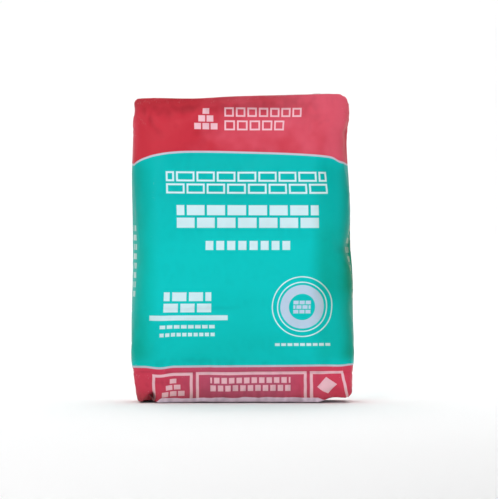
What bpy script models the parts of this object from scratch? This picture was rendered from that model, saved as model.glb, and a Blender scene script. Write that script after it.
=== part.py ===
"""A filled 50 kg cement bag: a block-bottom valve sack that stands on its base.

Units are metres, +Z is up and the printed front faces -Y. The origin is on the floor, under the middle of the bag.
"""

import math

import bmesh
import bpy
import numpy as np

# The bag as a whole
BAG_WIDTH = 0.4415
BAG_HEIGHT = 0.600
BELLY_DEPTH = 0.152
END_DEPTH = 0.114
TOP_TILT = 0.022

# The outline of the narrow sides, seen from the front, as (height, how far the side stands in from half the width).
# The left side tapers at its foot. The right side leans in towards the top and has dents half way up and
# under its top corner.
LEFT_HOLLOW = (
    (0.00, 0.0110), (0.03, 0.0095), (0.06, 0.0040), (0.12, 0.0005), (0.18, 0.0010), (0.25, 0.0030),
    (0.38, 0.0025), (0.44, 0.0012), (0.52, 0.0035), (0.60, 0.0060),
)
RIGHT_HOLLOW = (
    (0.00, 0.0075), (0.05, 0.0062), (0.09, 0.0036), (0.12, 0.0030), (0.18, 0.0052), (0.24, 0.0048),
    (0.31, 0.0105), (0.38, 0.0102), (0.44, 0.0137), (0.52, 0.0168), (0.555, 0.0125), (0.60, 0.0170),
)

# How square the cross section is: high in the folded ends, low in the round belly
END_SQUARENESS = 9.0
BELLY_SQUARENESS = 4.8
SQUARE_REACH = 0.16

# How the powder sags: at 1 the thickest place is halfway up, and below 1 it is lower
SAG = 0.64

# The rounding where the tube turns over into its ends
FRONT_EDGE_RADIUS = 0.012
LEFT_EDGE_RADIUS = 0.009
TOP_RIGHT_EDGE_RADIUS = 0.018
BASE_RIGHT_EDGE_RADIUS = 0.006

# The narrow sides are tucked in at each end, in a wedge that closes at half the depth away from it
TUCK_DEPTH = 0.008

# The front has a dent at the right, below the middle
DENT_X = 0.185
DENT_Z = 0.308
DENT_WIDTH = 0.030
DENT_HEIGHT = 0.050
DENT_DEPTH = 0.007

# The right end of the base curls up off the floor, and the curl fades out upwards
EAR_START = 0.150
EAR_END = 0.172
EAR_LIFT = 0.009
EAR_HEIGHT = 0.080

# The welded strips of cloth on the ends, and the filling valve
PATCH_LENGTH = 0.330
PATCH_WIDTH = 0.084
PATCH_SHIFT = -0.014
PATCH_CORNER = 0.006
CLOTH_THICKNESS = 0.0006
VALVE_LENGTH = 0.032
VALVE_WIDTH = 0.070
VALVE_CORNER = 0.010
LAYER_GAP = 0.0003

# How finely the sack is divided
CELLS_ACROSS = 30
CELLS_DEEP = 10
CELLS_HIGH = 26
CORNER_STEPS = 4

TEAL = (0.004, 0.545, 0.508, 1.0)
PALE_CLOTH = (0.610, 0.585, 0.560, 1.0)
VALVE_CLOTH = (0.660, 0.650, 0.620, 1.0)


def clear_scene():
    for item in list(bpy.data.objects):
        bpy.data.objects.remove(item, do_unlink=True)


def cloth_material(name, colour, roughness):
    material = bpy.data.materials.new(name)
    material.use_nodes = True
    shader = material.node_tree.nodes["Principled BSDF"]
    shader.inputs["Base Color"].default_value = colour
    shader.inputs["Roughness"].default_value = roughness
    shader.inputs["Metallic"].default_value = 0.0
    return material


def object_from(bm, name, material):
    mesh = bpy.data.meshes.new(name)
    bmesh.ops.recalc_face_normals(bm, faces=bm.faces)
    bm.to_mesh(mesh)
    bm.free()
    mesh.materials.append(material)
    piece = bpy.data.objects.new(name, mesh)
    bpy.context.scene.collection.objects.link(piece)
    return piece


def eased(value, start, end):
    """A smooth step from 0 at start to 1 at end."""
    share = min(1.0, max(0.0, (value - start) / (end - start)))
    return share * share * (3.0 - 2.0 * share)


def along(profile, height):
    """A profile's value at a height, on a smooth curve through its points."""
    heights = [point[0] for point in profile]
    values = [point[1] for point in profile]
    slopes = np.gradient(values, heights)
    last = len(heights) - 2
    i = min(last, max(0, int(np.searchsorted(heights, height)) - 1))
    span = heights[i + 1] - heights[i]
    t = min(1.0, max(0.0, (height - heights[i]) / span))
    start = (2 * t**3 - 3 * t**2 + 1) * values[i] + (t**3 - 2 * t**2 + t) * span * slopes[i]
    end = (3 * t**2 - 2 * t**3) * values[i + 1] + (t**3 - t**2) * span * slopes[i + 1]
    return start + end


def turned_in(distance, radius):
    """How far a rounded edge has curved inwards, at a distance from the end that it turns into."""
    if distance >= radius:
        return 0.0
    return radius - math.sqrt(radius**2 - (radius - distance) ** 2)


def hill(value, middle, width):
    """A soft hill of height 1 round a middle value."""
    return math.exp(-(((value - middle) / width) ** 2))


def level(x, share):
    """The height above the floor of a share of the sack's height."""
    base = CLOTH_THICKNESS + LAYER_GAP
    curl = EAR_LIFT * eased(x, EAR_START, EAR_END) * (1.0 - eased(share * BAG_HEIGHT, 0.0, EAR_HEIGHT))
    return base + share * (top_height(x) - base) + curl


def top_height(x):
    return BAG_HEIGHT - CLOTH_THICKNESS - LAYER_GAP + TOP_TILT * x


def sack_point(p, q, s):
    """Where a point of a box from -1 to 1 goes on the filled sack: p across, q from front to back, s upwards."""
    share = 0.5 - 0.5 * math.cos(math.pi * (s + 1.0) / 2.0)
    height = share * BAG_HEIGHT
    from_end = min(height, BAG_HEIGHT - height)

    profile = LEFT_HOLLOW if p < 0 else RIGHT_HOLLOW
    right_radius = BASE_RIGHT_EDGE_RADIUS if s < 0 else TOP_RIGHT_EDGE_RADIUS
    edge_radius = LEFT_EDGE_RADIUS if p < 0 else right_radius
    half_width = BAG_WIDTH / 2 - along(profile, height) - turned_in(from_end, edge_radius)
    swell = math.sin(math.pi * share**SAG) ** 0.75 if 0.0 < share < 1.0 else 0.0
    half_depth = (END_DEPTH + (BELLY_DEPTH - END_DEPTH) * swell) / 2 - turned_in(from_end, FRONT_EDGE_RADIUS)

    endness = 1.0 - eased(from_end, 0.0, SQUARE_REACH)
    squareness = BELLY_SQUARENESS + (END_SQUARENESS - BELLY_SQUARENESS) * endness
    rim = max(abs(p), abs(q))
    norm = (abs(p) ** squareness + abs(q) ** squareness) ** (1.0 / squareness)
    rounding = rim / norm if norm > 0.0 else 0.0

    y = q * rounding * half_depth
    tuck = TUCK_DEPTH * max(0.0, 1.0 - (abs(y) + from_end) / (END_DEPTH / 2)) * abs(p) ** 8
    x = p * rounding * half_width - math.copysign(tuck, p)
    z = level(x, share)
    if q < 0:
        y += DENT_DEPTH * abs(q) ** 8 * hill(x, DENT_X, DENT_WIDTH) * hill(z, DENT_Z, DENT_HEIGHT)
    return x, y, z


def divide_along(bm, axis, cuts):
    """Cut every edge that runs along one axis, so that the box gets a grid of faces."""
    edges = [e for e in bm.edges if abs((e.verts[1].co - e.verts[0].co).normalized()[axis]) > 0.9]
    bmesh.ops.subdivide_edges(bm, edges=edges, cuts=cuts, use_grid_fill=True)


def make_filled_sack():
    bm = bmesh.new()
    bmesh.ops.create_cube(bm, size=2.0)
    for axis, cells in enumerate((CELLS_ACROSS, CELLS_DEEP, CELLS_HIGH)):
        divide_along(bm, axis, cells - 1)
    for vert in bm.verts:
        vert.co = sack_point(*vert.co)
    sack = object_from(bm, "filled_sack", cloth_material("printed woven sack", TEAL, 0.42))
    sack.data.shade_smooth()
    return sack


def make_cloth_strip(name, length, width, corner, material):
    """A flat piece of sack cloth with rounded corners, lying on its own underside."""
    bm = bmesh.new()
    bmesh.ops.create_cube(bm, size=1.0)
    bmesh.ops.scale(bm, vec=(length, width, CLOTH_THICKNESS), verts=bm.verts)
    bmesh.ops.translate(bm, vec=(0.0, 0.0, CLOTH_THICKNESS / 2), verts=bm.verts)
    upright = [e for e in bm.edges if abs(e.verts[1].co.z - e.verts[0].co.z) > CLOTH_THICKNESS / 2]
    bmesh.ops.bevel(bm, geom=upright, offset=corner, segments=CORNER_STEPS, profile=0.5, affect="EDGES")
    return object_from(bm, name, material)


def lay_on_top(piece, x):
    """Lay a flat piece on the slanting top of the sack, with its middle at x."""
    piece.rotation_euler.y = -math.atan(TOP_TILT)
    piece.location = (x, 0.0, top_height(x) + LAYER_GAP / math.cos(math.atan(TOP_TILT)))


def make_patches_and_valve():
    patch_cloth = cloth_material("unprinted sack cloth", PALE_CLOTH, 0.55)
    bottom = make_cloth_strip("bottom_cover_patch", PATCH_LENGTH, PATCH_WIDTH, PATCH_CORNER, patch_cloth)
    bottom.location.x = PATCH_SHIFT
    top = make_cloth_strip("top_cover_patch", PATCH_LENGTH, PATCH_WIDTH, PATCH_CORNER, patch_cloth)
    lay_on_top(top, PATCH_SHIFT)
    valve_cloth = cloth_material("valve sleeve cloth", VALVE_CLOTH, 0.60)
    valve = make_cloth_strip("valve_sleeve", VALVE_LENGTH, VALVE_WIDTH, VALVE_CORNER, valve_cloth)
    lay_on_top(valve, PATCH_SHIFT + PATCH_LENGTH / 2 + LAYER_GAP + VALVE_LENGTH / 2)


def main():
    clear_scene()
    make_filled_sack()
    make_patches_and_valve()


main()
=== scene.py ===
# %% [markdown]
# # A filled cement bag, standing on its folded base
# The bag is a block-bottom valve sack: a tube of woven plastic tape, coated and printed, whose two ends
# are folded into flat rectangles and closed with a welded strip of the same cloth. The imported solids
# give its true size and place. This lesson keeps them as a fixed frame and makes the cloth, its folds,
# its print and its dust around them.

# %% Load the frame
import math

import bmesh
import bpy
import numpy as np
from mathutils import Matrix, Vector, noise
from mathutils.bvhtree import BVHTree


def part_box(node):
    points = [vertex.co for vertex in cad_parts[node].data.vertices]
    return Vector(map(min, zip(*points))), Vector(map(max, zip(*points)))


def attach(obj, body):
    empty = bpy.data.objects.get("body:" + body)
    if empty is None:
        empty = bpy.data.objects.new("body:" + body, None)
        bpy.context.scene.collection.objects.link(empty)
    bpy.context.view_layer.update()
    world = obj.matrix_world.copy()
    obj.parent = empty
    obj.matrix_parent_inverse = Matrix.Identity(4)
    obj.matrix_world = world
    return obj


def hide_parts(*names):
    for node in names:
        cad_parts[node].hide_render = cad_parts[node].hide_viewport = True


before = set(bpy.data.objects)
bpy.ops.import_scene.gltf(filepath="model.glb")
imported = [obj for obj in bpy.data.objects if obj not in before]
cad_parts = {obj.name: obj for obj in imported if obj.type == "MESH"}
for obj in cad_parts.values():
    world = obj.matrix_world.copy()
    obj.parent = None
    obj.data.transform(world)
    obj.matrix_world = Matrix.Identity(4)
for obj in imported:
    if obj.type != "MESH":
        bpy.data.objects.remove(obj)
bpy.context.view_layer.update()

MM = 0.001
sack_low, sack_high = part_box("filled_sack")

# %% [markdown]
# ## Small helpers
# Blender's operators act on whatever is selected, and the frame arrives selected, so each step starts
# from an empty selection. Vertex places are read and written as one array, which is much faster than
# one vertex at a time.

# %% Helpers for selections and vertex arrays
def start_alone(piece=None):
    """Leave one piece selected and active, or nothing."""
    if bpy.context.object and bpy.context.object.mode != "OBJECT":
        bpy.ops.object.mode_set(mode="OBJECT")
    bpy.ops.object.select_all(action="DESELECT")
    if piece:
        piece.select_set(True)
        bpy.context.view_layer.objects.active = piece


def read_places(mesh, kind="co"):
    places = np.zeros(len(mesh.vertices) * 3)
    mesh.vertices.foreach_get(kind, places)
    return places.reshape(-1, 3)


def write_places(mesh, places):
    mesh.vertices.foreach_set("co", np.asarray(places, float).ravel())
    mesh.update()


def apply_modifiers(piece):
    start_alone(piece)
    for modifier in list(piece.modifiers):
        bpy.ops.object.modifier_apply(modifier=modifier.name)


def eased(value, start, end):
    """A smooth step from 0 at start to 1 at end."""
    share = np.clip((value - start) / (end - start), 0.0, 1.0)
    return share * share * (3.0 - 2.0 * share)


def hill(value, middle, width):
    """A soft hill of height 1 round a middle value."""
    return np.exp(-(((value - middle) / width) ** 2))


start_alone()

# %% [markdown]
# ## Feel the frame's outline
# The sack solid carries the bag's measured outline: how far each side reaches at each height, how deep
# the bag is and where its top and base run. A ray shot at the solid works like a calliper's jaw, so the
# new cloth starts from the same outline, measured and not copied. The base curls up at the right. The
# height over which that curl fades out is given.

# %% Callipers made of rays
SACK_HEIGHT = sack_high[2] - sack_low[2]
solid = BVHTree.FromObject(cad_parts["filled_sack"], bpy.context.evaluated_depsgraph_get())


def touch(origin, direction):
    place = solid.ray_cast(Vector(origin), Vector(direction))[0]
    return place if place is not None else Vector((0, 0, 0))


CURL_HEIGHT = 0.080
STATION_REACH = 0.195
stations = np.linspace(-STATION_REACH, STATION_REACH, 40)
base_line = [touch((x, 0, -1), (0, 0, 1)).z for x in stations]
top_line = [touch((x, 0, 2), (0, 0, -1)).z for x in stations]


def level_at(x, share):
    """Height above the floor of a share of the sack's height. The curl of the base fades out upwards."""
    base, top = np.interp(x, stations, base_line), np.interp(x, stations, top_line)
    curl = (base - base_line[0]) * (1 - eased(share * SACK_HEIGHT, 0, CURL_HEIGHT))
    return base_line[0] + share * (top - base_line[0]) + curl


shares = np.linspace(0.002, 0.998, 121)
across_depth = np.linspace(-0.05, 0.05, 11)
across_width = np.linspace(-0.15, 0.15, 7)
right_reach, left_reach, depth_reach = [], [], []
for share in shares:
    right_z, left_z = level_at(STATION_REACH, share), level_at(-STATION_REACH, share)
    right_reach.append(max(touch((1, y, right_z), (-1, 0, 0)).x for y in across_depth))
    left_reach.append(max(-touch((-1, y, left_z), (1, 0, 0)).x for y in across_depth))
    depth_reach.append(max(-touch((x, -1, level_at(x, share)), (0, 1, 0)).y for x in across_width))
WIDTH = max(right_reach) + max(left_reach)
print("belly depth mm", round(2 * max(depth_reach) / MM), "width mm", round(WIDTH / MM))

# %% [markdown]
# ## The cloth block
# A sack is folded from flat cloth, so its surface is best kept as an even grid of square cells:
# wrinkles can form in any direction, and the print can be laid out on it in real metres. A cube is the
# start. Cutting all the edges that run one way, one direction at a time, turns it into that grid. On
# this block each coordinate runs from -1 to 1, so a point whose coordinate is past ON_FACE lies on that
# face of it.

# %% A cube cut into an even grid
CELL = 0.006
FOLDED_END = 0.03
ON_FACE = 0.999
in_middle = (shares > FOLDED_END) & (shares < 1 - FOLDED_END)
depth_shares, depth_reach = shares[in_middle], np.array(depth_reach)[in_middle]
END_DEPTH = 2 * depth_reach[0]


def cut_along(piece, axis, cuts):
    """In edit mode, cut every edge that runs along one axis."""
    edit = bmesh.from_edit_mesh(piece.data)
    for edge in edit.edges:
        run = edge.verts[1].co - edge.verts[0].co
        edge.select = abs(run[axis]) > 0.9 * run.length
    edit.select_flush_mode()
    bmesh.update_edit_mesh(piece.data)
    bpy.ops.mesh.subdivide(number_cuts=cuts)


bpy.ops.mesh.primitive_cube_add(size=2.0)
sack = bpy.context.active_object
sack.name = "woven_sack"
bpy.ops.object.mode_set(mode="EDIT")
bpy.ops.mesh.select_mode(type="EDGE")
for axis, length in enumerate((WIDTH, END_DEPTH, SACK_HEIGHT)):
    cut_along(sack, axis, 2 * round(length / CELL / 2) - 1)
bpy.ops.object.mode_set(mode="OBJECT")
block = read_places(sack.data)
print("grid cells", len(sack.data.polygons), "end depth mm", round(END_DEPTH / MM))

# %% [markdown]
# ## Shape the empty block like the filled sack
# In the folded ends the cross section is a rectangle with tight corners. In the belly the powder pushes
# it into a flat oval. A superellipse gives both, with one number for how square it is. Each ring of the
# block is walked by arc length, so the cloth of the wide faces keeps its width and the print on it its
# scale. The narrow sides take up the rest.

# %% Rings from a rectangle to a flat oval
END_SQUARENESS = 9.0
BELLY_SQUARENESS = 4.8
SQUARE_REACH = 0.16
WALK_STEPS = 60
SAME_RING = 1e-3
# A round corner is shorter than a square one. This share of the difference comes off the wide face.
SAVED_ON_WIDE = 0.25


def quarter_walk(half_width, half_depth, squareness):
    """Points from the middle of the front to the middle of the side, and how far along each one is."""
    step = np.linspace(0, 2, WALK_STEPS)
    across, deep = np.minimum(step, 1.0), np.minimum(2.0 - step, 1.0)
    rim = (across**squareness + deep**squareness) ** (1 / squareness)
    x, y = half_width * across / rim, half_depth * deep / rim
    return x, y, np.concatenate([[0.0], np.cumsum(np.hypot(np.diff(x), np.diff(y)))])


def shape_ring(ring, share):
    """Where the points of one ring of the block go, at this share of the sack's height."""
    from_end = min(share, 1 - share) * SACK_HEIGHT
    squareness = END_SQUARENESS + (BELLY_SQUARENESS - END_SQUARENESS) * eased(from_end, 0, SQUARE_REACH)
    half_depth = np.interp(share, depth_shares, depth_reach)
    across, deep = ring[:, 0], ring[:, 1]
    rim = np.maximum(np.abs(across), np.abs(deep))
    inner = np.where(rim > 0, rim, 1.0)
    on_wide = np.abs(deep) >= np.abs(across)
    x, y, walked = np.zeros((3, len(ring)))
    for side, reach in ((1, right_reach), (-1, left_reach)):
        mine = (across >= 0) if side > 0 else (across < 0)
        half_width = np.interp(share, shares, reach)
        walk_x, walk_y, far = quarter_walk(half_width, half_depth, squareness)
        corner = half_width - SAVED_ON_WIDE * (half_width + half_depth - far[-1])
        along_wide = np.abs(across) / inner * corner
        along_narrow = far[-1] - np.abs(deep) / inner * (far[-1] - corner)
        walk = np.where(on_wide, along_wide, along_narrow)[mine]
        x[mine] = side * np.interp(walk, far, walk_x) * rim[mine]
        y[mine] = np.sign(deep[mine]) * np.interp(walk, far, walk_y) * rim[mine]
        walked[mine] = side * walk
    return np.stack([x, y, level_at(x, share)], axis=1), walked


start_form, round_the_tube = np.zeros_like(block), np.zeros(len(block))
for level in np.unique(block[:, 2].round(6)):
    on_ring = np.abs(block[:, 2] - level) < SAME_RING
    start_form[on_ring], round_the_tube[on_ring] = shape_ring(block[on_ring], (level + 1) / 2)
write_places(sack.data, start_form)
print("start form mm", (start_form.min(0) / MM).round(), (start_form.max(0) / MM).round())

# %% [markdown]
# ## Lay out the print before the cloth moves
# The tube was printed flat, so its print belongs to the cloth and not to the space around it. A UV map
# in metres stores that: u runs along the cloth from the middle of the front, or of the back, to the
# creases at the sides, and v runs up it. The folded ends carry on past the bottom and the top, below 0
# and above the sack's height. Later steps bend the cloth and the print goes along. The block's own
# coordinates are kept too, as an attribute that tells later steps which part of the bag a point is.

# %% A UV map in metres, and the block's coordinates
def print_place(index, face):
    """The place on the flat print of one corner of a face."""
    x, y, z = block[index] * (WIDTH / 2, END_DEPTH / 2, SACK_HEIGHT / 2)
    panel = 1 if face.center.y < 0 else -1
    if abs(face.normal.z) < 0.9 or abs(block[index][2]) < ON_FACE:
        return panel * round_the_tube[index], z + SACK_HEIGHT / 2
    beyond = min(END_DEPTH / 2 - abs(y), WIDTH / 2 - abs(x))
    return panel * x, SACK_HEIGHT + beyond if z > 0 else -beyond


flat_print = sack.data.uv_layers[0]
flat_print.name = "flat print"
layout = np.array([print_place(k, face) for face in sack.data.polygons for k in face.vertices])
flat_print.data.foreach_set("uv", layout.ravel())
sack.data.attributes.new("block", "FLOAT_VECTOR", "POINT").data.foreach_set("vector", block.ravel())
print("print runs from", layout.min(0).round(3), "to", layout.max(0).round(3))

# %% [markdown]
# ## Fill the sack: a cloth simulation
# The soft folds of a full sack come from cloth that is a little too large for what it holds. Drawing
# them by hand rarely looks right, so the cloth is simulated: it is made about one percent longer than
# the form, a held volume of powder presses it outwards, and it buckles by itself. The flat parts under
# the welded strips are stiff layers, so they are pinned. Gravity is off, because the powder carries the
# cloth. A cap keeps every point near its start.

# %% Simulate, then cap the movement
SPARE_CLOTH = 0.011
FILL_FRAMES = 24
HELD_X, HELD_Y = 0.172, 0.044
MOST_MOVEMENT = 16 * MM
LITRE = 0.001


def volume_of(mesh):
    mesh.calc_loop_triangles()
    corners = np.zeros(len(mesh.loop_triangles) * 3, np.int32)
    mesh.loop_triangles.foreach_get("vertices", corners)
    a, b, c = (read_places(mesh)[corners.reshape(-1, 3)[:, k]] for k in range(3))
    return float((a * np.cross(b, c)).sum() / 6)


def fill_with_powder(piece):
    in_end = np.abs(block[:, 2]) > ON_FACE
    under_strip = (np.abs(start_form[:, 0]) < HELD_X) & (np.abs(start_form[:, 1]) < HELD_Y)
    pins = piece.vertex_groups.new(name="held flat")
    pins.add(np.flatnonzero(in_end & under_strip).tolist(), 1.0, "REPLACE")
    powder = piece.modifiers.new("powder", "CLOTH")
    cloth = powder.settings
    cloth.quality = 6
    cloth.tension_stiffness = cloth.compression_stiffness = 40
    cloth.shear_stiffness = 10
    cloth.bending_stiffness = 2
    cloth.use_pressure = True
    cloth.uniform_pressure_force = 0
    cloth.use_pressure_volume = True
    cloth.target_volume = volume_of(piece.data)
    cloth.pressure_factor = 100
    cloth.shrink_min = cloth.shrink_max = -SPARE_CLOTH
    cloth.effector_weights.gravity = 0
    cloth.vertex_group_mass = pins.name
    powder.collision_settings.use_collision = False
    powder.point_cache.frame_end = FILL_FRAMES
    for frame_number in range(1, FILL_FRAMES + 1):
        bpy.context.scene.frame_set(frame_number)
    apply_modifiers(piece)
    bpy.context.scene.frame_set(1)


fill_with_powder(sack)
moved = read_places(sack.data) - start_form
length = np.linalg.norm(moved, axis=1, keepdims=True)
cloth_form = start_form + moved * np.minimum(1.0, MOST_MOVEMENT / np.maximum(length, 1e-9))
print("most movement mm", round(float(length.max()) / MM, 1))
print("volume in litres", round(volume_of(sack.data) / LITRE, 2))

# %% [markdown]
# ## Bring the outline back to the frame
# The simulation lets the sides drift by some millimetres. Each ring is stretched or squeezed a little,
# so that its reach to the left and to the right and its depth are again the frame's. The correction is
# smoothed from ring to ring, which leaves the folds alone, and sideways it fades out towards the middle
# of the bag.

# %% Fit each ring to the measured reach
STRETCH_FADE = 0.12


def smoothed(values, times=3):
    for _ in range(times):
        wider = np.concatenate([values[:1], values, values[-1:]])
        values = (wider[:-2] + 2 * wider[1:-1] + wider[2:]) / 4
    return values


def fit_rings(form, block):
    """Scale each ring towards the reach that the callipers felt at its height."""
    rings = np.unique(block[:, 2].round(5))
    rings = rings[np.concatenate([[True], np.diff(rings) > SAME_RING])]
    outside = np.maximum(np.abs(block[:, 0]), np.abs(block[:, 1])) > ON_FACE
    right, left, deep = [], [], []
    for level in rings:
        ring = (np.abs(block[:, 2] - level) < SAME_RING) & outside
        x, y = form[ring, 0], form[ring, 1]
        share = (level + 1) / 2
        right.append(np.interp(share, shares, right_reach) / x.max())
        left.append(np.interp(share, shares, left_reach) / -x.min())
        deep.append(2 * np.interp(share, depth_shares, depth_reach) / (y.max() - y.min()))
    right, left, deep = (np.interp(block[:, 2], rings, smoothed(np.array(k))) for k in (right, left, deep))
    fitted = form.copy()
    sideways = np.where(form[:, 0] > 0, right, left)
    fitted[:, 0] *= 1 + (sideways - 1) * eased(np.abs(form[:, 0]), 0.0, STRETCH_FADE)
    fitted[:, 1] *= deep
    return fitted


cloth_form = fit_rings(cloth_form, block)
write_places(sack.data, cloth_form)
smooth = sack.modifiers.new("smooth", "SUBSURF")
smooth.levels = smooth.render_levels = 1
apply_modifiers(sack)
start_alone(sack)
bpy.ops.object.shade_smooth()
print("fitted mm", (cloth_form.min(0) / MM).round(1), (cloth_form.max(0) / MM).round(1))
print("faces after the subdivision", len(sack.data.polygons))

# %% [markdown]
# ## Folds that come from how the sack was made and stood down
# Some folds aren't chance. While the tube lay flat it had a crease down the middle of each narrow side.
# Where an end is folded into a block, two more creases run from its corners down to that one, and the
# cloth between them tucks in. The flaps of the end meet at 45 degrees. Then there is this one bag's own
# history: an open fold at its lower left corner, a hollow above the lower band, a dent at the right, a
# pucker at the upper left, and a soft rim under the top. Each is a small push along the surface's
# normal, written as hills over the place on the bag. Positive is outwards. Only the tucks go straight
# towards the middle.

# %% Coordinates and noise for the folds
fine_block = np.zeros(len(sack.data.vertices) * 3)
sack.data.attributes["block"].data.foreach_get("vector", fine_block)
fine_block = fine_block.reshape(-1, 3)
form = read_places(sack.data)
flat_x = fine_block[:, 0] * WIDTH / 2
flat_y = fine_block[:, 1] * END_DEPTH / 2
up = (fine_block[:, 2] + 1) / 2 * SACK_HEIGHT
to_end = np.minimum(up, SACK_HEIGHT - up)
on_narrow = np.abs(fine_block[:, 0]) > ON_FACE
on_end = np.abs(fine_block[:, 2]) > ON_FACE
on_front = fine_block[:, 1] < 0


def clouds(places, size, seed):
    """Soft noise from about -1 to 1, with features of this size in metres."""
    shift = Vector((seed * 7.3, seed * 3.1, seed * 5.7))
    return np.array([noise.fractal(Vector(v) / size + shift, 0.8, 2.0, 2) for v in places])


def ridges(places, size, seed):
    """Thin crests between hollows, from 0 to 1, as in crumpled film."""
    return 1.0 - np.abs(np.clip(2.2 * clouds(places, size, seed), -1, 1))


# %% Folds of the making
CREASE_HEIGHT, CREASE_WIDTH, CREASE_WANDER = 1.6 * MM, 5 * MM, 1.5 * MM
SLANT_HEIGHT, SLANT_WIDTH = 1.5 * MM, 4.5 * MM
FLAP_STEP = 1.0 * MM
TUCK_DEPTH = 8 * MM


def folds_of_making():
    """The crease down each narrow side, the slanting ones at its ends, and the seams of the flaps."""
    wander = CREASE_WANDER * clouds(form, 0.08, 1)
    push = np.where(on_narrow, CREASE_HEIGHT * hill(np.abs(flat_y) + wander, 0, CREASE_WIDTH), 0)
    slant = (END_DEPTH / 2 - np.abs(flat_y) - to_end) / math.sqrt(2)
    push += np.where(on_narrow, SLANT_HEIGHT * hill(slant, 0, SLANT_WIDTH) * eased(to_end, 0, 0.012), 0)
    seam = ((WIDTH / 2 - np.abs(flat_x)) - (END_DEPTH / 2 - np.abs(flat_y))) / math.sqrt(2)
    return push - np.where(on_end, FLAP_STEP * (1 - eased(seam, -2 * MM, 2 * MM)), 0)


def tuck_in():
    """How far the narrow sides go inwards between the corner ears."""
    into = np.clip((END_DEPTH / 2 - np.abs(flat_y) - to_end) / (END_DEPTH / 2), 0, 1)
    return np.sign(flat_x) * TUCK_DEPTH * into * np.abs(fine_block[:, 0]) ** 8


# %% The open fold at the lower left corner
POCKET_X, POCKET_HALF_WIDTH, POCKET_DEPTH = -0.183, 9 * MM, 14 * MM
EAR_OFFSET, EAR_HALF_WIDTH, EAR_SWELL = 16 * MM, 8 * MM, 3.0 * MM


def pocket_in(places):
    """From 0 to 1: how deep a place is in the open fold, which gets narrower upwards."""
    x, z = places[:, 0], places[:, 2]
    half_width = POCKET_HALF_WIDTH * (1 - 0.6 * eased(z, 0, 0.024))
    return hill(x, POCKET_X + 0.25 * z, half_width) * (1 - eased(z, 0.010, 0.026))


def folds_at_pocket(x, z):
    """The fold itself, and the ear of cloth beside it."""
    ear = EAR_SWELL * hill(x, POCKET_X - EAR_OFFSET, EAR_HALF_WIDTH) * (1 - eased(z, 0.004, 0.040))
    return ear - POCKET_DEPTH * pocket_in(form)


# %% Hollows, lines and a pucker on the front
# Each hollow has its depth, its middle and half width across, and its middle and half height.
HOLLOWS = (
    (7.0 * MM, 0.185, 0.030, 0.308, 0.050),
    (2.5 * MM, 0.196, 0.014, 0.302, 0.016),
    (3.0 * MM, -0.090, 0.055, 0.083, 0.012),
)
FOOT_FOLD_IN, FOOT_FOLD_HEIGHT = 3.0 * MM, 0.022
SAG_Z, SAG_DEPTH, SAG_WIDTH = 0.186, 0.8 * MM, 5 * MM
RIM_Z, RIM_SWELL, RIM_HOLLOW = 0.574, 1.2 * MM, 2.6 * MM
BAND_SWELL_Z, BAND_SWELL, BAND_HOLLOW_Z, BAND_HOLLOW = 0.068, 1.0 * MM, 0.060, 1.4 * MM
PUCKER_X, PUCKER_Z, PUCKER_HALF_LENGTH, PUCKER_HALF_WIDTH = -0.181, 0.549, 0.030, 8 * MM
PUCKER_DEPTH, PUCKER_SWELL, PUCKER_SWELL_OFFSET = 1.5 * MM, 1.0 * MM, 13 * MM
PUCKER_LEFT, PUCKER_UP = 0.57, 0.82


def level_folds(x, z):
    """Folds that run across the bag: a sag line, the rim under the top, and two at the foot."""
    sag_line = SAG_Z + 0.02 * x + 2 * MM * clouds(form, 0.05, 6)
    push = -SAG_DEPTH * hill(z, sag_line, SAG_WIDTH) * (1 - eased(x, -0.06, 0.02))
    under_top = RIM_Z + 0.03 * x
    rim = RIM_SWELL * hill(z, under_top + 18 * MM, 6 * MM) - RIM_HOLLOW * hill(z, under_top, 12 * MM)
    push += rim * (1 - eased(x, 0.02, 0.12))
    drifted = z + 2 * MM * clouds(form, 0.07, 2)
    push += BAND_SWELL * hill(drifted, BAND_SWELL_Z, 3.5 * MM)
    push -= BAND_HOLLOW * hill(drifted, BAND_HOLLOW_Z, 4 * MM)
    return push - FOOT_FOLD_IN * (1 - eased(z, 0.004, FOOT_FOLD_HEIGHT))


def pucker(x, z):
    """A short hollow that runs up and to the left, with a swell at its right."""
    along = PUCKER_UP * (z - PUCKER_Z) - PUCKER_LEFT * (x - PUCKER_X)
    across = PUCKER_UP * (x - PUCKER_X) + PUCKER_LEFT * (z - PUCKER_Z)
    swell = PUCKER_SWELL * hill(across, PUCKER_SWELL_OFFSET, PUCKER_HALF_WIDTH)
    return (swell - PUCKER_DEPTH * hill(across, 0, PUCKER_HALF_WIDTH)) * hill(along, 0, PUCKER_HALF_LENGTH)


def folds_of_history():
    x, z = form[:, 0], form[:, 2]
    push = level_folds(x, z) + pucker(x, z) + folds_at_pocket(x, z)
    for depth, middle_x, half_width, middle_z, half_height in HOLLOWS:
        push -= depth * hill(x, middle_x, half_width) * hill(z, middle_z, half_height)
    return np.where(on_front, push, 0)


# %% Small crumples
CALM_BELLY, MORE_AT_ENDS, MORE_AT_EDGES = 0.25, 0.6, 0.35
SMALL_CREASES, UPRIGHT_CREASES, SOFT_SWELLS = 1.0 * MM, 0.9 * MM, 1.2 * MM


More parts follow.
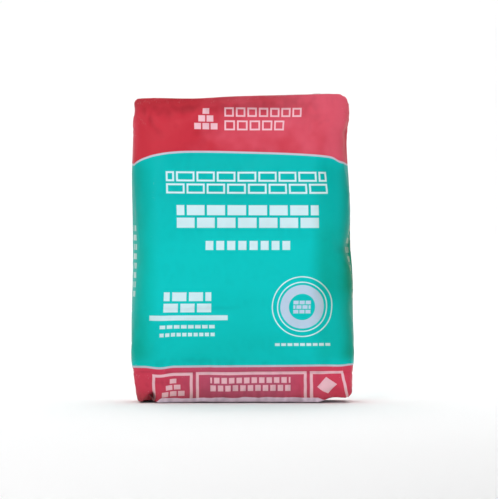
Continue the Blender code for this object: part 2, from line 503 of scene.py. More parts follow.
def crumples():
    """Small creases: strong at the ends and edges, faint on the tight belly."""
    near_end = 1 - eased(to_end, 0.0, 0.13)
    near_edge = eased(np.abs(flat_x), 0.10, 0.215)
    strength = CALM_BELLY + MORE_AT_ENDS * near_end + MORE_AT_EDGES * near_edge
    creases = ridges(form * [1, 1, 0.75], 0.034, 3) - 0.6
    upright = ridges(form * [1, 1, 0.18], 0.020, 4) - 0.6
    low_band = 1 - eased(form[:, 2], 0.03, 0.10)
    top_band = eased(form[:, 2], 0.53, 0.59)
    push = SMALL_CREASES * creases * strength
    push += UPRIGHT_CREASES * upright * np.maximum(low_band, 0.35 * top_band)
    return (push + SOFT_SWELLS * clouds(form, 0.11, 5) * strength) * np.where(on_end, 0.35, 1.0)


# %% Push the surface
normals = read_places(sack.data, "normal")
push = folds_of_making() + folds_of_history() + crumples()
beside_strip = eased(np.abs(form[:, 0]), 0.160, 0.190) + eased(np.abs(form[:, 1]), 0.036, 0.046)
push *= np.where(on_end, np.clip(beside_strip, 0, 1), 1)
form = form + normals * push[:, None]
form[:, 0] -= tuck_in()
print("strongest push mm", (push.min() / MM).round(1), "to", (push.max() / MM).round(1))

# %% [markdown]
# ## Settle the ends
# The folds move the outline by a millimetre or two, so the rings are fitted once more. The top is a lid
# of stiff layers: what stands above the frame's slanting top is pressed back by most of its height, and
# left of the middle the lid sags a little. The top right corner follows a round arc, and nothing goes
# below the level at which the cloth rests on its lower strip.

# %% Fit again, then the lid, the corner and the floor
LID_PRESS = 0.8
LID_SAG, LID_SAG_X, LID_SAG_HALF_WIDTH = 3.0 * MM, -0.095, 0.060
CORNER_START, CORNER_RADIUS = 0.1865, 0.018
LOWEST = 0.9 * MM
form = fit_rings(form, fine_block)
above_lid = form[:, 2] - level_at(form[:, 0], 1.0)
form[:, 2] -= LID_PRESS * np.maximum(above_lid, 0)
form[:, 2] -= LID_SAG * hill(form[:, 0], LID_SAG_X, LID_SAG_HALF_WIDTH) * eased(form[:, 2], 0.560, 0.595)
past_corner = np.clip((form[:, 0] - CORNER_START) / CORNER_RADIUS, 0, 1)
below_arc = sack_high[2] - CORNER_RADIUS * (1 - np.sqrt(1 - past_corner**2)) - form[:, 2]
form[:, 2] += below_arc * eased(form[:, 0], 0.172, 0.188) * (1 - eased(below_arc, 3 * MM, 9 * MM))
form[:, 2] = np.maximum(form[:, 2], LOWEST)
write_places(sack.data, form)
print("sculpted mm", (form.min(0) / MM).round(1), (form.max(0) / MM).round(1))

# %% [markdown]
# ## Remember where it is folded, shaded and dusty
# Ink rubs off on crests, painted shade darkens the hollows and the open fold, and cement dust settles on
# the ends, near the floor and round the valve. The script measures how far each point stands out from
# its neighbours, and keeps crest, painted hollow shade and dust as attributes for the material.

# %% Crest, painted hollow shade and dust attributes
FULL_CREST = 0.10 * MM
FLOOR_DUST, VALVE_DUST, END_DUST = 0.12, 0.5, 0.35
DUST_HEIGHT = 0.016


def standing_out(mesh, rounds=4):
    """How far each vertex stands out from the average of its neighbours, smoothed."""
    ends = np.zeros(len(mesh.edges) * 2, np.int32)
    mesh.edges.foreach_get("vertices", ends)
    a, b = ends.reshape(-1, 2).T
    count = np.bincount(ends, minlength=len(mesh.vertices)).astype(float)

    def average(values):
        total = np.zeros_like(values)
        np.add.at(total, a, values[b])
        np.add.at(total, b, values[a])
        return total / (count[:, None] if values.ndim > 1 else count)

    places = read_places(mesh)
    crest = ((places - average(places)) * read_places(mesh, "normal")).sum(axis=1)
    for _ in range(rounds):
        crest = 0.5 * crest + 0.5 * average(crest)
    return crest


def keep_attribute(mesh, name, values):
    mesh.attributes.new(name, "FLOAT", "POINT").data.foreach_set("value", values)


crest = standing_out(sack.data) / FULL_CREST
# Painted shade: darker in hollows, where the surface sinks below its neighbours, and deep in the open fold
# at the lower left.
hollow_shade = -0.25 * crest + 1.5 * pocket_in(form) * on_front
near_floor = np.exp(-form[:, 2] / DUST_HEIGHT)
round_valve = hill(form[:, 0], 0.185, 0.05) * np.where(fine_block[:, 2] > ON_FACE, 1.0, 0.0)
dust = FLOOR_DUST * near_floor + VALVE_DUST * round_valve + np.where(on_end, END_DUST, 0.0)
keep_attribute(sack.data, "crest", np.clip(crest, -1, 1))
keep_attribute(sack.data, "hollow_shade", np.clip(hollow_shade, 0, 1))
keep_attribute(sack.data, "dust", np.clip(dust, 0, 1))
print("crest from", crest.min().round(2), "to", crest.max().round(2))

# %% [markdown]
# ## The filling valve
# The bag is filled through a flat sleeve in one top corner, and the powder inside presses it shut. It
# is a short tube of cloth pressed flat, so a short open cylinder is the start: it is flattened, laid on
# the sack's top, and given a wall. Its inner end lies under the strip, and its mouth gapes a little.
# Its flat width and the length that shows are the solid's.

# %% The valve sleeve
LAYER_GAP = 0.3 * MM
SLEEVE_UNDER_STRIP = 14 * MM
SLEEVE_WALL = 0.3 * MM
PLY_GAP, MOUTH_GAPE, MOUTH_WAVE = 0.5 * MM, 0.8 * MM, 1.5 * MM
valve_low, valve_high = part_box("valve_sleeve")
SLEEVE_LENGTH = valve_high[0] - valve_low[0] + SLEEVE_UNDER_STRIP
HALF_SLEEVE = (valve_high[1] - valve_low[1]) / 2


def surface_of(*pieces):
    """Height above the floor of the topmost surface at a place, from rays shot straight down."""
    graph = bpy.context.evaluated_depsgraph_get()
    trees = [BVHTree.FromObject(piece, graph) for piece in pieces]

    def height(x, y):
        hits = [tree.ray_cast(Vector((x, y, 1)), Vector((0, 0, -1)))[0] for tree in trees]
        return max((hit.z for hit in hits if hit is not None), default=0.0)

    return height


def give_thickness(cloth, thickness, side=1):
    """Make a wall of a sheet, on the outer side of its faces or, with -1, on the inner."""
    wall = cloth.modifiers.new("wall", "SOLIDIFY")
    wall.thickness = thickness
    wall.offset = side
    apply_modifiers(cloth)
    start_alone(cloth)
    bpy.ops.object.shade_smooth_by_angle(angle=math.radians(40))


start_alone()
bpy.ops.mesh.primitive_cylinder_add(vertices=56, radius=1.0, depth=2.0, end_fill_type="NOTHING")
sleeve = bpy.context.active_object
sleeve.name = "valve_tongue"
bpy.ops.object.mode_set(mode="EDIT")
cut_along(sleeve, 2, 14)
bpy.ops.object.mode_set(mode="OBJECT")

top_of_sack = surface_of(sack)
tube = read_places(sleeve.data)
along = (tube[:, 2] + 1) / 2
sleeve_x = valve_high[0] - (1 - along) * SLEEVE_LENGTH
sleeve_y = np.sign(tube[:, 0]) * np.abs(tube[:, 0]) ** 0.8 * HALF_SLEEVE
mouth_wave = MOUTH_WAVE * np.sin(sleeve_y / HALF_SLEEVE * 5.0) * eased(along, 0.6, 1.0)
ply = tube[:, 1] * (PLY_GAP + MOUTH_GAPE * eased(along, 0.5, 1.0) * (1 - (sleeve_y / HALF_SLEEVE) ** 2))
lying = np.array([top_of_sack(a, b) for a, b in zip(sleeve_x, sleeve_y)])
lying = np.maximum(lying, np.median(lying) - 0.6 * MM)
sleeve_z = lying + LAYER_GAP + SLEEVE_WALL + np.abs(ply.min()) + ply
write_places(sleeve.data, np.stack([sleeve_x + mouth_wave, sleeve_y, sleeve_z], axis=1))
start_alone(sleeve)
bpy.ops.object.mode_set(mode="EDIT")
bpy.ops.mesh.select_all(action="SELECT")
bpy.ops.mesh.normals_make_consistent(inside=False)
bpy.ops.object.mode_set(mode="OBJECT")
give_thickness(sleeve, SLEEVE_WALL, side=-1)
print("valve lies at mm", (sleeve_z.min() / MM).round(1), "to", (sleeve_z.max() / MM).round(1))

# %% [markdown]
# ## The welded strips
# Each end is closed by a strip of the same cloth, welded on with heat. It is cut from a roll, so it
# starts as a flat grid in its real size, with slightly rounded corners. On the top it is laid down over
# the sack and the valve by dropping every point until it touches. Rounds of averaging, never below what
# it touched, then let it bridge small hollows as stiff cloth does. The lower one is pressed flat
# between sack and floor.

# %% Strips of cloth
STRIP_CELL = 3 * MM
STRIP_CORNER = 6 * MM


def cut_strip(node, name):
    """A flat grid as large as the solid strip, its corners rounded."""
    low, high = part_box(node)
    size = np.array([high[0] - low[0], high[1] - low[1]])
    middle = (low[0] + high[0]) / 2
    cells = (size / STRIP_CELL).round().astype(int)
    start_alone()
    bpy.ops.mesh.primitive_grid_add(x_subdivisions=int(cells[0]), y_subdivisions=int(cells[1]), size=1.0)
    strip = bpy.context.active_object
    strip.name = name
    bpy.ops.object.mode_set(mode="EDIT")
    bpy.ops.transform.resize(value=(size[0], size[1], 1.0))
    bpy.ops.transform.translate(value=(middle, 0, 0))
    bpy.ops.object.mode_set(mode="OBJECT")
    places = read_places(strip.data)
    inner = size / 2 - STRIP_CORNER
    offset = places[:, :2] - [middle, 0]
    past = np.maximum(np.abs(offset) - inner, 0)
    reach = np.hypot(*past.T)
    shrink = np.where((past > 0).all(axis=1), past.max(axis=1) / np.maximum(reach, 1e-9), 1.0)
    offset = np.sign(offset) * (np.minimum(np.abs(offset), inner) + past * shrink[:, None])
    places[:, :2] = offset + [middle, 0]
    write_places(strip.data, places)
    return strip, size


# %% Lay the upper strip over the sack and the valve
CLOTH_THICKNESS = 0.6 * MM
SETTLING_ROUNDS = 12
MEAN_LIFT = 0.25 * MM
top_strip, top_size = cut_strip("top_cover_patch", "upper_strip")
under_it = surface_of(sack, sleeve)
places = read_places(top_strip.data)
ground = np.array([under_it(a, b) for a, b in places[:, :2]])
edges = np.array([edge.vertices[:] for edge in top_strip.data.edges])
height = ground.copy()
for _ in range(SETTLING_ROUNDS):
    total, count = np.zeros(len(height)), np.zeros(len(height))
    for a, b in ((0, 1), (1, 0)):
        np.add.at(total, edges[:, a], height[edges[:, b]])
        np.add.at(count, edges[:, a], 1)
    height = np.maximum(ground, total / count)
lift = MEAN_LIFT * (1 + clouds(places, 0.025, 8))
lying_at = height + LAYER_GAP + np.clip(lift, 0, None)
places[:, 2] = lying_at
write_places(top_strip.data, places)
give_thickness(top_strip, CLOTH_THICKNESS)
print("upper strip lies at mm", (lying_at.min() / MM).round(1), "to", (lying_at.max() / MM).round(1))

# %% The lower strip, between the sack and the floor
base_strip, base_size = cut_strip("bottom_cover_patch", "lower_strip")
give_thickness(base_strip, CLOTH_THICKNESS)
print("strip size mm", (base_size / MM).round(1))

# %% [markdown]
# ## Sums written as nodes
# The print is drawn by node maths, so that it stays sharp at any distance. A small class lets a node
# sum be written like a Python sum: each plus, minus or times adds a Math node and links it.

# %% A value in a node tree
class Amount:
    def __init__(self, tree, socket):
        self.tree, self.socket = tree, socket

    def made(self, operation, *others, clamp=False):
        node = self.tree.nodes.new("ShaderNodeMath")
        node.operation, node.use_clamp = operation, clamp
        for slot, value in enumerate((self, *others)):
            connect(self.tree, value, node.inputs[slot])
        return Amount(self.tree, node.outputs[0])

    def __add__(self, other):
        return self.made("ADD", other)

    def __sub__(self, other):
        return self.made("SUBTRACT", other)

    def __rsub__(self, other):
        return self.made("MULTIPLY", -1.0) + other

    def __mul__(self, other):
        return self.made("MULTIPLY", other)

    def __truediv__(self, other):
        return self.made("DIVIDE", other)

    def __abs__(self):
        return self.made("ABSOLUTE")

    __radd__ = __add__
    __rmul__ = __mul__

    def least(self, other):
        return self.made("MINIMUM", other)

    def most(self, other):
        return self.made("MAXIMUM", other)

    def rise(self, start, end):
        """A smooth step from 0 at start to 1 at end. It falls with growing values if end is the lower."""
        node = self.tree.nodes.new("ShaderNodeMapRange")
        node.interpolation_type = "SMOOTHSTEP"
        for name, value in (("Value", self), ("From Min", start), ("From Max", end)):
            connect(self.tree, value, node.inputs[name])
        return Amount(self.tree, node.outputs[0])


def connect(tree, value, socket):
    if isinstance(value, Amount):
        tree.links.new(value.socket, socket)
    else:
        socket.default_value = value


def add_node(tree, kind, **inputs):
    """A node with its input sockets filled in by name, underscores standing for spaces."""
    node = tree.nodes.new(kind)
    for name, value in inputs.items():
        connect(tree, value, node.inputs[name.replace("_", " ")])
    return node


def linear(red, green, blue):
    """A colour as a screen shows it, 0 to 255, turned into the share of light that a shader needs."""
    shares = [c / 255 for c in (red, green, blue)]
    return tuple(((c + 0.055) / 1.055) ** 2.4 if c > 0.04 else c / 12.92 for c in shares) + (1.0,)


# %% [markdown]
# ## Motifs of the print
# Every motif is a distance: positive inside its shape, negative outside, in metres. The largest of
# several distances is all the shapes together, and one smooth step at the end turns it into ink with
# the same crisp edge everywhere. Two node groups hold the motifs that come again: a course of building
# blocks, and a ring.

# %% Node groups for the motifs
def new_group(name, inputs):
    """A node group with number inputs, its first two the place on the print, and one distance output."""
    tree = bpy.data.node_groups.new(name, "ShaderNodeTree")
    for label in ("u", "v", *inputs):
        tree.interface.new_socket(name=label, in_out="INPUT", socket_type="NodeSocketFloat")
    tree.interface.new_socket(name="distance", in_out="OUTPUT", socket_type="NodeSocketFloat")
    source = tree.nodes.new("NodeGroupInput")
    return tree, [Amount(tree, socket) for socket in source.outputs[:-1]]


def end_group(tree, result):
    sink = tree.nodes.new("NodeGroupOutput")
    tree.links.new(result.socket, sink.inputs[0])
    return tree


def make_block_course():
    """Rows of blocks, each half a block on from the row below. A taper of 1 makes them a pyramid."""
    inputs = ("middle", "low", "half width", "rows", "block", "row height", "joint", "line", "taper")
    tree, values = new_group("course of blocks", inputs)
    u, v, middle, low, half_width, rows, block_length, row_height, joint, line, taper = values
    height = (v - low) / row_height
    row = height.made("FLOOR")
    reach = half_width - row * taper * block_length * 0.5
    across = u - middle
    start = (across + half_width) / block_length + (row * 0.5).made("FRACT")
    beside = (0.5 - abs(start.made("FRACT") - 0.5)) * block_length
    between = (0.5 - abs(height.made("FRACT") - 0.5)) * row_height
    inside = beside.least(between).least(reach - abs(across)) - joint * 0.5
    inside = inside.least(height * row_height).least((rows - height) * row_height)
    return end_group(tree, inside.least(line - inside))


def make_ring():
    inputs = ("middle", "level", "radius", "half line")
    tree, (u, v, middle, level, radius, half_line) = new_group("ring", inputs)
    across, above = u - middle, v - level
    far = (across * across + above * above).made("SQRT")
    return end_group(tree, half_line - abs(far - radius))


COURSE, RING = make_block_course(), make_ring()
SOLID = 1.0
print("node groups:", COURSE.name, "and", RING.name)


# %% Helpers that place the motifs
class Motifs:
    """The motifs of one kind of ink, gathered as one distance."""

    def __init__(self, u, v):
        self.tree, self.u, self.v, self.all = u.tree, u, v, None

    def add(self, distance):
        self.all = distance if self.all is None else self.all.most(distance)

    def group(self, tree, **numbers):
        node = self.tree.nodes.new("ShaderNodeGroup")
        node.node_tree = tree
        for name, value in {"u": self.u, "v": self.v, **numbers}.items():
            connect(self.tree, value, node.inputs[name.replace("_", " ")])
        self.add(Amount(self.tree, node.outputs[0]))

    def course(self, left, right, low, high, rows, blocks, joint, line, taper=0.0):
        half = (right - left) / 2
        self.group(COURSE, middle=left + half, low=low, half_width=half, rows=rows, taper=taper,
                   block=2 * half / blocks, row_height=(high - low) / rows, joint=joint, line=line)

    def ring(self, middle, level, radius, half_line):
        self.group(RING, middle=middle, level=level, radius=radius, half_line=half_line)

    def frame_line(self, left, right, low, high, line):
        half_u, half_v = (right - left) / 2, (high - low) / 2
        inside = (half_u - abs(self.u - (left + half_u))).least(half_v - abs(self.v - (low + half_v)))
        self.add(inside.least(line - inside))

    def diamond(self, middle, level, size):
        self.add(size - abs(self.u - middle) - abs(self.v - level))


# %% [markdown]
# ## The printed cloth
# The print has a red band above a shallow arc, a teal field, a thin pale line and a red band along the
# foot, and the folded ends stay bare. Rows of building blocks of several sizes and weights run across
# it, with plain rings at the right and small frames along the foot. The same print is on the front and
# the back, as on most sacks.

# %% Colours of the print
TEAL = linear(0, 207, 205)
SHADED_TEAL = linear(0, 195, 193)
RED = linear(211, 54, 70)
# Painted highlight on the red band, towards its right.
SHEEN_RED = linear(232, 94, 115)
FOOT_RED = linear(226, 69, 96)
SHEEN_FOOT_RED = linear(205, 90, 119)
PALE_INK = linear(219, 248, 255)
RING_INK = linear(200, 222, 246)
KEY_LINE = linear(206, 208, 224)
PINK_INK = linear(255, 204, 216)
BARE_CLOTH = linear(228, 209, 224)
DUST = linear(178, 172, 166)
# Tint of the painted shade, and of the dirt at the foot.
SHADE_AND_DIRT_TINT = (0.34, 0.40, 0.22, 1.0)
# Tint of the painted shade in hollows and in the open fold.
HOLLOW_SHADE_TINT = (0.26, 0.22, 0.23, 1.0)


# %% The pale motifs on the teal field
# A course has its left, right, low and high edge on the flat print in metres, its rows, the blocks in
# a row, the joint between blocks, and the width of its line, or SOLID.
RING_U, RING_V = 0.1156, 0.188
FIELD_COURSES = (
    (-0.154, 0.169, 0.407, 0.454, 2, 8, 0.004, 0.0036),
    (-0.1345, 0.151, 0.340, 0.389, 2, 7, 0.005, SOLID),
    (-0.077, 0.096, 0.2965, 0.320, 1, 8, 0.006, SOLID),
    (-0.160, -0.060, 0.176, 0.220, 2, 3, 0.005, SOLID),
    (-0.186, -0.030, 0.1625, 0.1724, 1, 1, 0.0, SOLID),
    (-0.262, -0.228, 0.205, 0.350, 8, 1, 0.007, SOLID),
    (0.228, 0.262, 0.205, 0.350, 8, 1, 0.007, SOLID),
    (-0.166, -0.054, 0.1448, 0.1546, 1, 8, 0.003, SOLID),
    (-0.166, -0.054, 0.129, 0.139, 1, 10, 0.003, SOLID),
    (0.060, 0.171, 0.1085, 0.1170, 1, 9, 0.003, SOLID),
)


def draw_field(u, v):
    ink = Motifs(u, v)
    for course in FIELD_COURSES:
        ink.course(*course)
    for radius in (0.059, 0.0485):
        ink.ring(RING_U, RING_V, radius, 0.0011)
    return ink.all


def draw_broad_ring(u, v):
    ink = Motifs(u, v)
    ink.ring(RING_U, RING_V, 0.0345, 0.0085)
    ink.course(0.0976, 0.1336, 0.1745, 0.2015, 3, 3, 0.002, SOLID)
    return ink.all


# %% The pink motifs on the red bands
# A pyramid has its edges only, and a frame its left, right and high edge. The frame at the right of
# the foot fans out downwards, where the cloth turns round its corner.
BAND_COURSES = (
    (-0.038, 0.1176, 0.558, 0.580, 1, 7, 0.004, 0.0032),
    (-0.038, 0.084, 0.531, 0.5545, 1, 5, 0.004, 0.0032),
    (-0.066, 0.094, 0.0187, 0.050, 2, 11, 0.004, SOLID),
)
PYRAMIDS = ((-0.097, -0.048, 0.533, 0.578), (-0.160, -0.113, 0.012, 0.048))
FRAMES = ((-0.177, -0.0985, 0.058), (-0.092, 0.1237, 0.059), (0.130, 0.196, 0.059))
FRAME_LOW, FRAME_LINE = -0.030, 0.0055
FAN_U, FAN_V, FAN_RATE = 0.130, 0.059, 2.8


def draw_bands(u, v):
    fanned = u - (u - FAN_U).most(0.0) * (FAN_V - v).most(0.0) * FAN_RATE
    ink = Motifs(fanned, v)
    for course in BAND_COURSES:
        ink.course(*course)
    for edges in PYRAMIDS:
        ink.course(*edges, 3, 3, 0.003, SOLID, taper=1.0)
    for left, right, top in FRAMES:
        ink.frame_line(left, right, FRAME_LOW, top, FRAME_LINE)
    ink.diamond(0.161, 0.029, 0.018)
    return ink.all


# %% Helpers for materials
# A Mix node has sockets for numbers and colours under the same names, so the colours go by place.
MIX_FIRST, MIX_SECOND, MIX_RESULT = 6, 7, 2


def mix(tree, share, first, second, blend="MIX"):
    node = tree.nodes.new("ShaderNodeMix")
    node.data_type, node.blend_type = "RGBA", blend
    connect(tree, share, node.inputs["Factor"])
    connect(tree, first, node.inputs[MIX_FIRST])
    connect(tree, second, node.inputs[MIX_SECOND])
    return Amount(tree, node.outputs[MIX_RESULT])


def new_material(name):
    paint = bpy.data.materials.new(name)
    paint.use_nodes = True
    tree = paint.node_tree
    return paint, tree, tree.nodes["Principled BSDF"]


def attribute(tree, name):
    node = tree.nodes.new("ShaderNodeAttribute")
    node.attribute_name = name
    return Amount(tree, node.outputs["Fac"])


def grain(tree, vector, scale, detail=2.0, roughness=0.5):
    numbers = {"Scale": scale, "Detail": detail, "Roughness": roughness}
    return Amount(tree, add_node(tree, "ShaderNodeTexNoise", Vector=vector, **numbers).outputs["Fac"])


def weave_height(u, v, tape):
    """Tapes a few millimetres wide that pass over and under each other, under a smooth coating."""
    across, along = (u * (math.pi / tape)).made("SINE"), (v * (math.pi / tape)).made("SINE")
    pick = (across * along).rise(-0.25, 0.25)
    return abs(across) * pick + abs(along) * (1.0 - pick)


# %% [markdown]
# ## Bands, key lines and inks
# The bands meet at an arc above and a nearly level line below, and a pale key line covers each join.
# The print was made a little askew, and it waves where the cloth turns under, so all of it is drawn at
# a corrected height. Inks are mixed over each other in the order of printing.

# %% From distances to colours
SOFT = 0.5 * MM
HALF_FRONT = 0.2135
ARC_V, ARC_SLOPE, LEFT_DROP, RIGHT_DROP = 0.4895, 0.022, 0.025, 0.0075
FOOT_V = 0.0705
KEY_HALF_WIDTH = 0.0019
PRINT_SLANT, SLANT_V, WAVE = 0.065, 0.12, 3 * MM


def as_drawn(u, v):
    """Height on the print as it was drawn, before it went askew and waved."""
    wave = WAVE - abs(u + 0.163).rise(0.030, 0.0) * WAVE
    wave = wave + u.rise(0.180, 0.215) * u.rise(0.260, 0.225) * WAVE
    return v + u * (v - SLANT_V) * PRINT_SLANT - wave * (1.0 - v.rise(0.08, 0.20))


def arc_height(u):
    """Height of the arc between teal and red. It drops towards both sides, and more at the left."""
    left = (u.least(0.0) / -HALF_FRONT).least(1.05).made("POWER", 4.0) * LEFT_DROP
    right = (u.most(0.0) / HALF_FRONT).least(1.05).made("POWER", 3.0) * RIGHT_DROP
    return ARC_V - u * ARC_SLOPE - left - right


def print_colours(tree, u, v, there):
    drawn = as_drawn(u, v)
    above_arc = drawn - arc_height(u)
    # Painted highlight: the red band above the arc turns paler and pinker towards the right, broken up by
    # noise.
    sideways = u * (1.0 - abs(u).rise(0.185, 0.235))
    right_sheen = (sideways * 1.6 + grain(tree, there, 9.0, 3.0, 0.6)).rise(0.30, 0.85)
    red = mix(tree, right_sheen, RED, SHEEN_RED)
    # Painted shade: the teal field is darker towards its top.
    teal = mix(tree, v.rise(0.28, 0.42), TEAL, SHADED_TEAL)
    # Painted sheen: the foot band is duller and more lilac in the middle, fading to its full red towards
    # the sides.
    foot_red = mix(tree, abs(u).rise(0.04, 0.20), SHEEN_FOOT_RED, FOOT_RED)
    colour = mix(tree, above_arc.rise(-SOFT, SOFT), teal, red)
    colour = mix(tree, (FOOT_V - drawn).rise(-SOFT, SOFT), colour, foot_red)
    key = (KEY_HALF_WIDTH - abs(above_arc)).most(KEY_HALF_WIDTH - abs(drawn - FOOT_V))
    for distance, ink in (
        (key, KEY_LINE),
        (draw_broad_ring(u, drawn), RING_INK),
        (draw_field(u, drawn), PALE_INK),
        (draw_bands(u, drawn), PINK_INK),
    ):
        colour = mix(tree, distance.rise(-SOFT, SOFT), colour, ink)
    return colour


# %% [markdown]
# ## Wear, dirt, dust and painted shade
# No part of a used bag is one even colour. Painted shade darkens its sides, the dent, the lower field
# and the red under the top, painted shade and dirt darken its foot, and the ends of the tube were never
# printed. Each of these is a share from 0 to 1: smooth steps over the place on the bag, in metres, times
# a strength, broken up by noise. The painted shade and dirt multiply the colour, because they darken
# what lies under them.

# %% Shares of painted shade, dirt and bare cloth
# Strengths of painted shade; the foot's is painted shade and dirt, and the patchy share is tone at random.
RIGHT_SHADE, LEFT_SHADE, DENT_SHADE, RIM_SHADE = 0.45, 0.50, 0.28, 0.35
FOOT_SHADE_AND_DIRT, LOW_SHADE, PATCHY_DIRT = 0.38, 0.10, 0.30
FOOT_EDGE, EDGE_WAVE, PAST_TOP = 8.8 * MM, 6 * MM, 10 * MM


def shade_and_dirt_share(tree, v, there, patchy):
    """Painted shade at the sides, round the dent, low on the field and under the top, painted shade and
    dirt at the foot, and tone that differs at random.
    """
    x = Amount(tree, add_node(tree, "ShaderNodeSeparateXYZ", Vector=there).outputs[0])
    # Painted shade: the sides fall off darker, the right side more round the dent.
    by_dent = abs(v - 0.27).rise(0.12, 0.03)
    right_side = x.rise(0.122, 0.162) * (0.20 + DENT_SHADE * by_dent) + x.rise(0.180, 0.212) * RIGHT_SHADE
    left_side = (-1.0 * x).rise(0.155, 0.212) * LEFT_SHADE
    on_field = v.rise(0.07, 0.10) * (1.0 - v.rise(0.45, 0.49))
    shaded_sides = right_side * on_field + left_side * (0.35 + 0.65 * on_field)
    # Painted shade and dirt at the foot, and painted shade low on the field.
    foot = (1.0 - v.rise(0.004, 0.034)) * FOOT_SHADE_AND_DIRT + (1.0 - v.rise(0.10, 0.20)) * LOW_SHADE
    shade_and_dirt = shaded_sides + foot + (0.5 - patchy) * PATCHY_DIRT
    shade_and_dirt = shade_and_dirt * (0.75 + 0.5 * grain(tree, there, 22.0, 4.0, 0.6))
    # Painted shade under the top rim, at the left and in the middle.
    under_top = v.rise(0.562, 0.600) * (1.0 - x.rise(0.06, 0.15)) * RIM_SHADE
    return (shade_and_dirt + under_top).made("MULTIPLY", 1.0, clamp=True)


def bare_share(tree, u, v, there):
    """The unprinted edges at both ends of the tube, with a wavy border."""
    wobble = grain(tree, there, 28.0) * EDGE_WAVE
    foot_edge = FOOT_EDGE - abs(u + 0.006).rise(0.150, 0.180) * 0.024
    top_edge = SACK_HEIGHT + PAST_TOP
    return (foot_edge + wobble - v).most(v - top_edge - wobble).rise(-SOFT, SOFT)


# %% The material of the printed cloth
TAPE = 2.6 * MM


def coat(tree, shader, colour, roughness, shine, height, strength, depth):
    """Give the shader its colour, roughness and shine, and a relief of this depth."""
    relief = add_node(tree, "ShaderNodeBump", Strength=strength, Distance=depth, Height=height)
    tree.links.new(relief.outputs[0], shader.inputs["Normal"])
    for name, value in (("Base Color", colour), ("Roughness", roughness), ("Specular IOR Level", shine)):
        connect(tree, value, shader.inputs[name])


def make_printed_cloth():
    paint, tree, shader = new_material("printed woven cloth")
    uv = tree.nodes.new("ShaderNodeUVMap")
    uv.uv_map = "flat print"
    parts = add_node(tree, "ShaderNodeSeparateXYZ", Vector=Amount(tree, uv.outputs[0]))
    u, v = Amount(tree, parts.outputs[0]), Amount(tree, parts.outputs[1])
    there = Amount(tree, tree.nodes.new("ShaderNodeTexCoord").outputs["Object"])
    patchy = grain(tree, there, 7.0, 3.0)

    colour = print_colours(tree, u, v, there)
    scuff = (attribute(tree, "crest") * 0.35 + grain(tree, there, 420.0, 3.0, 0.7)).rise(0.92, 1.10)
    colour = mix(tree, scuff * 0.40, colour, BARE_CLOTH)
    # Painted shade, and dirt at the foot, multiply the colour.
    colour = mix(tree, shade_and_dirt_share(tree, v, there, patchy), colour, SHADE_AND_DIRT_TINT, blend="MULTIPLY")
    colour = mix(tree, bare_share(tree, u, v, there), colour, BARE_CLOTH)
    # Painted shade: the hollows and the open fold are darkened in the colour.
    colour = mix(tree, attribute(tree, "hollow_shade") * 0.7, colour, HOLLOW_SHADE_TINT, blend="MULTIPLY")
    powder = attribute(tree, "dust") * grain(tree, there, 40.0, 5.0, 0.7).rise(0.30, 0.75)
    colour = mix(tree, powder.made("MULTIPLY", 0.75, clamp=True), colour, DUST)

    height = weave_height(u, v, TAPE) * 0.12 + grain(tree, there, 130.0, 3.0, 0.6) * 0.9
    roughness = 0.36 + patchy * 0.10 + powder * 0.35
    coat(tree, shader, colour, roughness, shine=0.08, height=height, strength=0.35, depth=0.6 * MM)
    print("nodes in the print", len(tree.nodes))
    return paint


sack.data.materials.append(make_printed_cloth())

# %% [markdown]
# ## Bare cloth for the strips and the valve
# The welded strips and the valve sleeve are the same woven tape without print. The coating is thinner
# there, so the weave shows more, and more dust lies on them.

# %% The material of the bare cloth
def make_bare_cloth(name, tint, roughness):
    paint, tree, shader = new_material(name)
    there = Amount(tree, tree.nodes.new("ShaderNodeTexCoord").outputs["Object"])
    parts = add_node(tree, "ShaderNodeSeparateXYZ", Vector=there)
    weave = weave_height(Amount(tree, parts.outputs[0]), Amount(tree, parts.outputs[1]), TAPE)
    dusty = grain(tree, there, 30.0, 5.0, 0.7)
    colour = mix(tree, dusty.rise(0.35, 0.75) * 0.6, tint, DUST)
    colour = mix(tree, (1.0 - weave) * 0.25, colour, DUST)
    height = weave + dusty * 0.3
    roughness = roughness + dusty * 0.2
    coat(tree, shader, colour, roughness, shine=0.3, height=height, strength=0.6, depth=0.4 * MM)
    return paint


strip_cloth = make_bare_cloth("bare woven cloth", linear(205, 200, 196), 0.45)
for strip in (top_strip, base_strip):
    strip.data.materials.append(strip_cloth)
sleeve.data.materials.append(make_bare_cloth("valve cloth", linear(214, 212, 206), 0.6))
print("materials:", [m.name for m in bpy.data.materials if m.users])

# %% [markdown]
# ## Stage, camera and light
# The bag stands on a pale floor that curves up into a round wall, so that no line shows from any side.
# One soft lamp stands at the upper left of the camera, a large one hangs overhead, and four wash the
# wall, whose light comes back on the bag from all round, so its edges fall off gently. The camera is at
# half the bag's height and square to its front.

# %% Camera
CAMERA_DISTANCE = 6.0
CAMERA_X = 0.0112
CAMERA_Z = 0.2995
VIEW_WIDTH = 0.983
camera_data = bpy.data.cameras.new("camera")
camera = bpy.data.objects.new("camera", camera_data)
bpy.context.scene.collection.objects.link(camera)
camera.location = (CAMERA_X, -CAMERA_DISTANCE, CAMERA_Z)
camera.rotation_euler = (math.radians(90), 0, 0)
camera_data.sensor_width = 36
camera_data.lens = camera_data.sensor_width * CAMERA_DISTANCE / VIEW_WIDTH
bpy.context.scene.camera = camera
print("lens in mm", round(camera_data.lens))

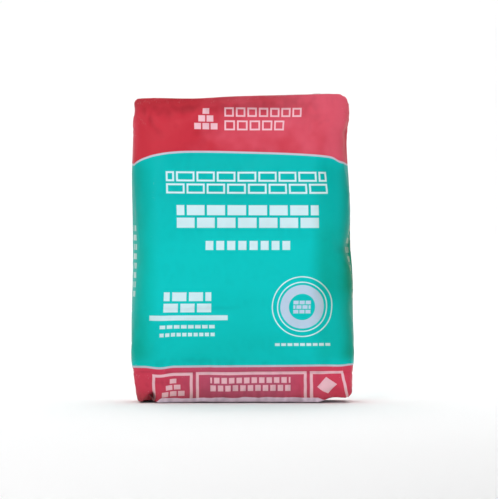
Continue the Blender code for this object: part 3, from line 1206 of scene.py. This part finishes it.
# %% A studio bowl
FLOOR_RADIUS = 6.0
BOWL_RADIUS = 2.5
BOWL_HEIGHT = 6.0
BOWL_STEPS = 12
PALE = 0.94
start_alone()
bpy.ops.mesh.primitive_circle_add(vertices=96, radius=FLOOR_RADIUS, fill_type="TRIFAN")
bowl = bpy.context.active_object
bowl.name = "studio_bowl"
bpy.ops.object.mode_set(mode="EDIT")
bpy.ops.mesh.select_mode(type="EDGE")
bpy.ops.mesh.select_all(action="SELECT")
bpy.ops.mesh.region_to_loop()
radius = FLOOR_RADIUS
for step in range(1, BOWL_STEPS + 1):
    angle, before = math.radians(90 * step / BOWL_STEPS), math.radians(90 * (step - 1) / BOWL_STEPS)
    wider = FLOOR_RADIUS + BOWL_RADIUS * math.sin(angle)
    rise = BOWL_RADIUS * (math.cos(before) - math.cos(angle))
    bpy.ops.mesh.extrude_edges_move(TRANSFORM_OT_translate={"value": (0, 0, rise)})
    bpy.ops.transform.resize(value=(wider / radius, wider / radius, 1.0))
    radius = wider
bpy.ops.mesh.extrude_edges_move(TRANSFORM_OT_translate={"value": (0, 0, BOWL_HEIGHT - BOWL_RADIUS)})
bpy.ops.mesh.select_all(action="SELECT")
bpy.ops.mesh.normals_make_consistent(inside=True)
bpy.ops.object.mode_set(mode="OBJECT")
bpy.ops.object.shade_smooth()
paint, tree, shader = new_material("pale studio")
shader.inputs["Base Color"].default_value = (PALE, PALE, PALE, 1)
shader.inputs["Roughness"].default_value = 0.9
bowl.data.materials.append(paint)
print("faces of the bowl", len(bowl.data.polygons))


# %% Lights
KEY_POWER, OVERHEAD_POWER, WALL_POWER = 42, 211, 90
AIR_LIGHT = 0.01


def add_softbox(name, place, aim, size, power):
    light = bpy.data.lights.new(name, "AREA")
    light.shape = "RECTANGLE"
    light.size, light.size_y = size
    light.energy = power
    lamp = bpy.data.objects.new(name, light)
    bpy.context.scene.collection.objects.link(lamp)
    lamp.location = place
    lamp.rotation_euler = (Vector(aim) - Vector(place)).to_track_quat("-Z", "Y").to_euler()


add_softbox("key light", (-1.3, -3.3, 2.2), (0, 0, 0.3), (1.2, 1.2), KEY_POWER)
add_softbox("overhead light", (0, 1.8, 3.8), (0, 1.8, 0), (4.0, 6.0), OVERHEAD_POWER)
for turn in range(4):
    away = Vector((math.cos(turn * math.pi / 2), math.sin(turn * math.pi / 2), 0))
    place, aim = away * 4.5 + Vector((0, 0, 3.4)), away * 8.4 + Vector((0, 0, 1.0))
    add_softbox("wall light", place, aim, (4.0, 1.0), WALL_POWER)
world = bpy.data.worlds.new("studio air")
world.use_nodes = True
world.node_tree.nodes["Background"].inputs["Color"].default_value = (1, 1, 1, 1)
world.node_tree.nodes["Background"].inputs["Strength"].default_value = AIR_LIGHT
bpy.context.scene.world = world
bpy.context.scene.view_settings.view_transform = "Standard"
print("lamps", len(bpy.data.lights))

# %% [markdown]
# Each piece rides on the bag's one body and stands for its solid, which is hidden. The strips and the
# sleeve are sheets with a flat size, and the sack is a soft form filled tight.

# %% Riding and replacing
for piece, node, slot in (
    (sack, "filled_sack", "printed_sack_cloth"),
    (top_strip, "top_cover_patch", "plain_sack_cloth"),
    (base_strip, "bottom_cover_patch", "plain_sack_cloth"),
    (sleeve, "valve_sleeve", "valve_cloth"),
):
    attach(piece, "root")
    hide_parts(node)
